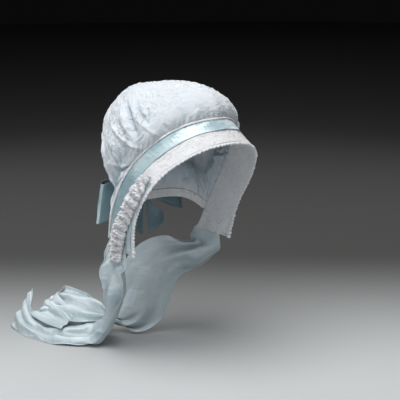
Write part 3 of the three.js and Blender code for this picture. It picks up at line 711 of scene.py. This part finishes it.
def band_ribbon():
    """Satin ribbon on the band, with shallow waves along it and puckers at its sewn edges."""
    u, v = lattice(520, 22)
    side = mix(-BAND_RIBBON_END, BAND_RIBBON_END, u)
    edge = np.abs(v - 0.5) * 2
    puckers = 0.22 * edge ** 3 * np.cos(210 * side + 3 * wander(41, side * 12, v))
    waves = 0.5 * wander(42, side * 14, v * 1.4) + 0.28 * wander(43, side * 44, v * 3)
    lift = RIBBON_LIFT + np.clip(puckers + waves * (1 - edge ** 4), -0.25, 0.9)
    points = on_band(side, mix(*BAND_RIBBON_ACROSS, v), lift)
    piece = cloth("band_ribbon_satin", points, SATIN_WALL, RIBBON_SATIN)
    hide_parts("band_ribbon")


def side_ribbon(name, sign):
    """Narrow ribbon down the front of a lappet, hardly waving."""
    u, v = lattice(150, 8)
    side = mix(*SIDE_RIBBON_DOWN, u)
    lift = RIBBON_LIFT + 0.2 * wander(51, side * 30, v)
    points = on_band(sign * side, mix(*SIDE_RIBBON_ACROSS, v), lift)
    piece = cloth(f"side_ribbon_satin_{name}", points, SATIN_WALL, RIBBON_SATIN)
    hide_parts(f"side_ribbon_{name}")


RUCHE_PATH = columns("at across width", [
    (0.47, 0.3, 0.55), (0.6, 0.28, 0.92), (0.75, 0.34, 1), (0.87, 0.5, 1.15), (1.08, 0.65, 1.15),
])


def ruche(name, sign):
    """Gathered strip: round puffs between narrow slanting creases, |sin|^0.6 along it, on a half
    round crest across it, looser towards the hem, with small sharp crumples all over."""
    u, v = lattice(330, 34)
    side = mix(*RUCHE_DOWN, u)
    width = along(RUCHE_PATH, "width", side)
    seed = 60 + sign
    loose = ease((u - 0.45) / 0.3)
    slant = (0.7 + 0.25 * wander(seed, u * 4)) * v + 0.22 * wander(seed + 3, u * 5, v)
    puff = np.abs(np.sin(math.pi * (RUCHE_PUFFS * u + slant))) ** 0.6
    small_slant = 1.7 * v + 0.5 * wander(seed + 5, u * 9, v * 2)
    small = np.abs(np.sin(math.pi * (RUCHE_WRINKLES * u + small_slant))) ** 0.8
    lump = mix(puff, 0.5 * puff + 0.5 * small, 0.3 + 0.5 * loose)
    offset = 2 * v - 1
    uneven = 0.88 + 0.2 * lump + 0.07 * wander(seed + 7, u * 22, v)
    across = offset * RUCHE_HALF_WIDTH * width * uneven
    crest = np.sqrt(np.clip(1 - offset ** 2, 0, 1))
    curl = 1.2 * loose * np.clip(np.abs(offset) - 0.6, 0, 1) * (1 + wander(seed + 9, u * 20))
    chips = np.abs(wander(seed + 13, u * 52, v * 7, waves=18)) - 0.5
    height = RUCHE_HEIGHT * width * (0.14 + 0.9 * lump) + 2.4 * chips
    lift = RUCHE_LIFT + 0.4 + height * crest + curl
    points = on_band(sign * side, along(RUCHE_PATH, "across", side), lift)
    points = points + band_across(sign * np.minimum(side, 1)) * across[..., None]
    # Painted shade in the creases between the puffs and in the crumples' dips.
    painted_shade = ease((0.62 - lump - 0.25 * chips) / 0.5)
    piece = cloth(f"ruche_puffs_{name}", points, RUCHE_WALL, TRIM_CLOTH,
                  painted_shade=painted_shade)
    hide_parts(f"ruche_{name}")


def nape_casing():
    """Casing from one end of the seam round the nape to the other, pleated by its string."""
    u, v = lattice(360, 16)
    turn = mix(LOOP_SEAM_SHARE, 2 - LOOP_SEAM_SHARE, u)
    wrapped = np.where(turn > 1, turn - 2, turn)
    sign = np.where(wrapped < 0, -1, 1)
    lean = ease((1 - np.abs(wrapped)) / (1 - LOOP_SEAM_SHARE))[..., None]
    end = sign * CROWN_SEAM_END
    down_seam = unit(seam_curve(end * 1.05) - seam_curve(end))
    down = unit(mix(stack(0, 0, -1.0), down_seam, lean))
    fall = CROWN_WALL / 2 + SEAM_GAP + v * NAPE_BAND_HEIGHT
    points = gather_line(wrapped) + down * fall[..., None]
    pleat = np.cos(2 * math.pi * CASING_PLEATS * u + 2 * wander(71, u * 20, v))
    pleat = 0.45 * pleat * np.sin(math.pi * v) ** 0.5
    string = 0.5 * bump((v - 0.5) / 0.16)
    lift = pleat * ease(u / 0.04) * ease((1 - u) / 0.04) + string
    points = points + normals_of(points) * lift[..., None]
    piece = cloth("nape_casing", points, CASING_WALL * 0.7, TRIM_CLOTH)
    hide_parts("nape_band")


# The bow

def bow_knot():
    """A squeezed ball, its skin drawn into a few upright folds by the ribbon wound round it."""
    u, v = lattice(96, 48)
    turn, rise = 2 * math.pi * u[:-1], math.pi * (v[:-1] - 0.5)
    fold = 1 - 0.05 * (0.5 + 0.5 * np.cos(9 * turn + 1.5 * np.sin(3 * rise))) * np.cos(rise)
    points = stack(np.cos(turn) * np.cos(rise) * KNOT_WIDTH / 2 * fold,
                   np.sin(turn) * np.cos(rise) * KNOT_DEPTH / 2 * fold,
                   np.sin(rise) * KNOT_HEIGHT / 2)
    n = points.shape[0]
    body = points[:, 1:-1]
    m = body.shape[1]
    corners = np.vstack([body.reshape(-1, 3), points[0, 0], points[0, -1]]) + BOW_CENTRE
    faces = grid_faces(n, m, True)
    low, high = n * m, n * m + 1
    faces += [[((i + 1) % n) * m, i * m, low] for i in range(n)]
    faces += [[i * m + m - 1, ((i + 1) % n) * m + m - 1, high] for i in range(n)]
    uv = np.vstack([cloth_uv(body, True), [[0, 0]], [[0, 0]]])
    # The knot wears the satin darkened as painted shade.
    piece = make_mesh("bow_knot_wrap", corners, faces, SHADED_BOW_SATIN, uv)
    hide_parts("bow_knot")


def bow_loop(name, sign):
    """A ribbon that leaves the knot, folds back at its outer end and returns: sin over its length
    carries it out, a double sine parts its leaves, and pleats fan out of the knot. Its leaves
    are painted dark as painted shade, and only its outer fold is left pale, a painted highlight."""
    u, v = lattice(150, 44)
    out = np.sin(math.pi * u)
    height = mix(KNOT_HEIGHT * 0.7, LOOP_HEIGHT, ease(out * 1.15))
    up = (v - 0.5) * height
    reach = KNOT_WIDTH / 2 + SEAM_GAP + (LOOP_REACH - LOOP_SLANT * up) * out
    leaf = (LOOP_PARTING * np.cos(math.pi * u) + LOOP_FULLNESS * np.sin(2 * math.pi * u)) / 2
    pinch = bump(out / 0.5)
    pleat = 0.5 * pinch * ease(out / 0.08) * np.cos(2 * math.pi * 3 * v + sign)
    soft = 0.72 * wander(81 + sign, u * 4, v * 2) * ease(out / 0.3)
    curl = 0.55 * np.abs(2 * v - 1) ** 4 * np.sin(2 * math.pi * u + 1)
    back = LOOP_LEAN * out - leaf + pleat + soft + curl
    droop = LOOP_DROOP * out + 7 * out ** 5
    points = BOW_CENTRE + stack(sign * reach, back, up - droop)
    # Painted shade over the leaves, fading out on the outer fold to leave a painted highlight.
    painted_shade = 0.94 * (1 - ease((out - 0.972) / 0.02))
    piece = cloth(f"bow_loop_satin_{name}", points, SATIN_WALL, LOOP_SATIN,
                  painted_shade=painted_shade)
    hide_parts(f"bow_loop_{name}")


def bow_tail(name, sign):
    """A short end that widens below the knot, waves once, and is cut on a slant."""
    u, v = lattice(60, 30)
    width = mix(KNOT_WIDTH * 0.4, TAIL_WIDTH, ease(u * 1.6))
    out = RIBBON_WALL + SEAM_GAP + TAIL_SPLAY * u + v * width
    fall = KNOT_HEIGHT / 2 + u * TAIL_FALL * (1 - TAIL_SLANT * v)
    soft = 0.4 * ease(u / 0.2) * wander(91 + sign, u * 3, v * 2)
    back = TAIL_WAVE * np.sin(math.pi * (u + v)) + soft
    points = BOW_CENTRE + stack(sign * out, back, -fall)
    # The tail wears the satin darkened as painted shade.
    piece = cloth(f"bow_tail_satin_{name}", points, SATIN_WALL, SHADED_BOW_SATIN)
    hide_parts(f"bow_tail_{name}")


# The ties

# Each tie's path by share of its length: where its middle is, over towards the other side, back
# along the ground and down to it; the way its width points; and how widely it spreads and waves
TIE_COLUMNS = "at over back fall dx dy dz spread wave"
TIE_PATHS = {
    "right": columns(TIE_COLUMNS, [
        (0, 0, 0, 0, 0.1, 1, 0.07, 0.43, 0),
        (0.07, 0, 0.01, 0.15, 0.1, 1, 0.04, 0.48, 0),
        (0.13, 0, 0.085, 0.26, 0.05, 1, -0.06, 0.72, 0.7),
        (0.22, 0.02, 0.1, 0.38, 0, 1, -0.1, 0.74, 1),
        (0.3, 0.05, 0.11, 0.47, 0.05, 1, -0.05, 0.68, 0.9),
        (0.38, 0.09, 0.15, 0.56, 0.2, 0.95, 0, 0.6, 0.8),
        (0.46, 0.16, 0.22, 0.69, 0.45, 0.85, 0.05, 0.5, 0.5),
        (0.54, 0.19, 0.305, 0.83, 0.62, 0.72, 0.25, 0.5, 0.3),
        (0.62, 0.12, 0.42, 0.928, 0.64, 0.68, 0.28, 0.54, 0.2),
        (0.71, -0.15, 0.53, 0.951, 0.6, 0.72, 0.28, 0.5, 0.15),
        (0.8, -0.37, 0.66, 0.953, 0.56, 0.74, 0.28, 0.47, 0.15),
        (0.88, -0.49, 0.79, 0.942, 0.5, 0.7, 0.3, 0.42, 0.1),
        (0.94, -0.53, 0.92, 0.901, 0.55, 0.45, 0.6, 0.46, 0.1),
        (1, -0.42, 1.08, 0.839, 0.62, 0.1, 0.78, 0.56, 0.1),
    ]),
    "left": columns(TIE_COLUMNS, [
        (0, 0, 0, 0, -0.1, 1, 0.07, 0.43, 0),
        (0.07, 0, 0.01, 0.15, -0.1, 1, 0.05, 0.48, 0),
        (0.14, 0.12, 0.12, 0.255, -0.25, 0.9, 0.35, 0.58, 0.5),
        (0.2, 0.33, 0.21, 0.285, -0.42, 0.55, 0.7, 0.7, 1),
        (0.26, 0.57, 0.27, 0.33, -0.6, 0.6, 0.5, 0.85, 1),
        (0.33, 0.79, 0.32, 0.455, -0.74, 0.62, 0.2, 0.9, 1),
        (0.4, 0.93, 0.345, 0.65, -0.76, 0.62, 0.05, 0.9, 1),
        (0.47, 1.08, 0.37, 0.845, -0.74, 0.62, 0.16, 0.86, 0.7),
        (0.54, 1.26, 0.43, 0.89, -0.5, 0.7, 0.5, 0.64, 0.4),
        (0.61, 1.45, 0.55, 0.819, -0.05, 0.8, 0.5, 0.48, 0.15),
        (0.69, 1.73, 0.66, 0.78, 0.5, 0.65, 0.4, 0.54, 0.2),
        (0.77, 1.95, 0.82, 0.775, 0.55, 0.4, 0.6, 0.52, 0.1),
        (0.84, 2.18, 0.89, 0.786, 0.75, -0.2, 0.55, 0.46, 0.1),
        (0.9, 2.17, 0.81, 0.819, 0.8, -0.35, 0.4, 0.44, 0.1),
        (1, 2.06, 0.63, 0.882, 0.8, 0.3, 0.2, 0.34, 0.1),
    ]),
}
TIE_SEWN = columns("side across width", [(0.945, 0.62, 0.66), (1.065, 0.74, 1)])
TIE_SEWN_SHARE, TIE_FREE_SHARE, PUDDLE_REACH, TIE_WAVE = 0.07, 0.13, 200, 4


def tie(name, sign):
    """A ribbon carried along its path: sewn flat to the lappet, then free, its width spread along
    the row's direction. Where it is drawn narrower than it was cut, the rest of its width goes
    into soft pleats: a cosine over the width, as deep as that fullness needs, that wanders. On the
    ground it spreads wider and crumples."""
    u, v = lattice(330, 90)
    table = TIE_PATHS[name]
    start = on_band(sign * TIE_SEWN["side"][0], TIE_SEWN["across"][0], RIBBON_LIFT)
    down = np.minimum(u, TIE_FREE_SHARE) / TIE_SEWN_SHARE
    side, across, sewn_width = (mix(*TIE_SEWN[key], down) for key in ("side", "across", "width"))
    sewn = on_band(sign * side, across + (v - 0.5) * sewn_width, RIBBON_LIFT)

    def centre(at):
        return stack(start[0] * (1 - along(table, "over", at)),
                     start[1] + PUDDLE_REACH * along(table, "back", at),
                     mix(start[2], GROUND, along(table, "fall", at)))
    width = unit(stack(*(along(table, key, u) for key in ("dx", "dy", "dz"))))
    lift = unit(np.cross(width, centre(u + 0.01) - centre(u - 0.01)))
    lying = ease((u - 0.5) / 0.12)
    spread, wave = along(table, "spread", u) * (1 + 0.22 * lying), along(table, "wave", u)
    seed = 101 + sign
    fullness = np.clip(0.9 / spread, 1.02, 1.75)
    depth = np.sqrt(2 * (fullness ** 2 - 1)) * TIE_WIDTH * spread / (2 * math.pi * TIE_PLEATS)
    drift = 0.18 * wander(seed, u * 3, v) + 0.3 * u
    flatter = mix(1, mix(0.75, 0.35, ease((u - 0.74) / 0.14)), lying)
    pleats = flatter * np.cos(2 * math.pi * (TIE_PLEATS * v + drift))
    swing = TIE_WAVE * np.cos(2 * math.pi * (1.5 * v + 0.6 * u))
    waves = wave * (swing + 0.8 * wander(seed + 2, u * 5, v * 3.2)) + depth * pleats
    free = centre(u) + width * ((v - 0.5) * TIE_WIDTH * spread)[..., None] + lift * waves[..., None]
    loose = ease((u - TIE_SEWN_SHARE) / (TIE_FREE_SHARE - TIE_SEWN_SHARE))[..., None]
    points = mix(sewn, free, loose)
    ridges = np.abs(wander(seed + 8, u * 5, v * 2.2)) - 0.6
    crumple = 0.3 * wander(seed + 5, u * 20, v * 5)
    crumple = crumple + lying * (0.5 * wander(seed + 6, u * 8, v * 3) + 3 * ridges)
    points = points + normals_of(points) * (crumple * ease((u - 0.1) / 0.1))[..., None]
    points[..., 2] = np.maximum(points[..., 2], GROUND + SATIN_WALL)
    gathered = np.clip(2 * fullness - 2, 0, 1) * ease((u - 0.08) / 0.1)
    # Painted shade in the pleats' valleys, where the tie is gathered.
    painted_shade = 0.45 * ease(0.5 - 0.8 * pleats) * gathered
    piece = cloth(f"tie_satin_{name}", points, SATIN_WALL, TIE_SATIN, painted_shade=painted_shade)
    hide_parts(f"tie_{name}")


# Stage, light and camera

# The camera's direction over the ground
INTO_PICTURE = 0.643, 0.766


def stage():
    """A wide floor, pale grey by the cap, with painted shade: its colour is painted darker towards
    the back of the picture, and painted lighter again far off, where the lamps hardly reach."""
    finish = Finish("pale_floor")
    x, y = finish.first_two(finish.place(uv=False))
    far = x * INTO_PICTURE[0] + y * INTO_PICTURE[1]
    # Painted shade: the floor darkens from pale grey to near black with distance into the picture.
    near = finish.blend(far.step(-0.14, 0.57), (0.50, 0.515, 0.52), (0.048, 0.048, 0.047))
    # Painted light: far off the floor is painted lighter again, where the lamps hardly reach.
    finish.wear(Base_Color=finish.blend(far.step(1.2, 16.0), near, (0.6, 0.6, 0.6)), Roughness=0.9)
    size, low = 30.0, GROUND * MM
    corners = [(-size, -size, low), (size, -size, low), (size, size, low), (-size, size, low)]
    mesh = bpy.data.meshes.new("floor")
    mesh.from_pydata(corners, [], [(0, 1, 2, 3)])
    mesh.materials.append(finish.material)
    floor = bpy.data.objects.new("floor", mesh)
    bpy.context.scene.collection.objects.link(floor)


def soft_light(name, place, size, power, tint=(1, 1, 1)):
    """A round soft lamp, turned towards the middle of the cap and its ties."""
    lamp = bpy.data.lights.new(name, "AREA")
    lamp.shape, lamp.size, lamp.energy, lamp.color = "DISK", size, power, tint
    holder = bpy.data.objects.new(name, lamp)
    holder.location = place
    aim = Vector((0, 0.02, -0.15)) - Vector(place)
    holder.rotation_euler = aim.to_track_quat("-Z", "Y").to_euler()
    bpy.context.scene.collection.objects.link(holder)


def light_and_camera():
    """Soft lamps, the strongest overhead, and the camera of the photo."""
    world = bpy.data.worlds.new("studio")
    world.use_nodes = True
    world.node_tree.nodes["Background"].inputs[0].default_value = (0.0028, 0.0028, 0.0028, 1)
    bpy.context.scene.world = world
    soft_light("key", (-0.7, -0.26, 2.0), 1.95, 63)
    soft_light("front", (-0.3, -1.9, 1.1), 1.2, 7)
    soft_light("side", (-1.5, -0.5, 0.6), 1.2, 7, (0.86, 0.94, 1))
    soft_light("far_side", (1.5, 0.5, 0.9), 1.4, 7)
    soft_light("back", (0.2, 1.6, 0.9), 1.4, 7)
    back = Vector((-0.6287, -0.7493, 0.2079))
    up = Vector((0.1336, 0.1593, 0.9781))
    aim, distance = Vector((0, 0, -0.126)) + up * 0.0216, 1.2
    camera = bpy.data.cameras.new("camera")
    camera.lens, camera.sensor_width = 80, 36
    holder = bpy.data.objects.new("camera", camera)
    holder.location = aim + back * distance
    holder.rotation_euler = (-back).to_track_quat("-Z", "Y").to_euler()
    bpy.context.scene.collection.objects.link(holder)
    bpy.context.scene.camera = holder
    bpy.context.scene.view_settings.view_transform = "Standard"


light_and_camera()
stage()
crown()
front_band()
edge_roll()
seam_piping()
band_ribbon()
nape_casing()
bow_knot()
for side_name, side_sign in (("right", -1), ("left", 1)):
    side_ribbon(side_name, side_sign)
    ruche(side_name, side_sign)
    bow_loop(side_name, side_sign)
    bow_tail(side_name, side_sign)
    tie(side_name, side_sign)
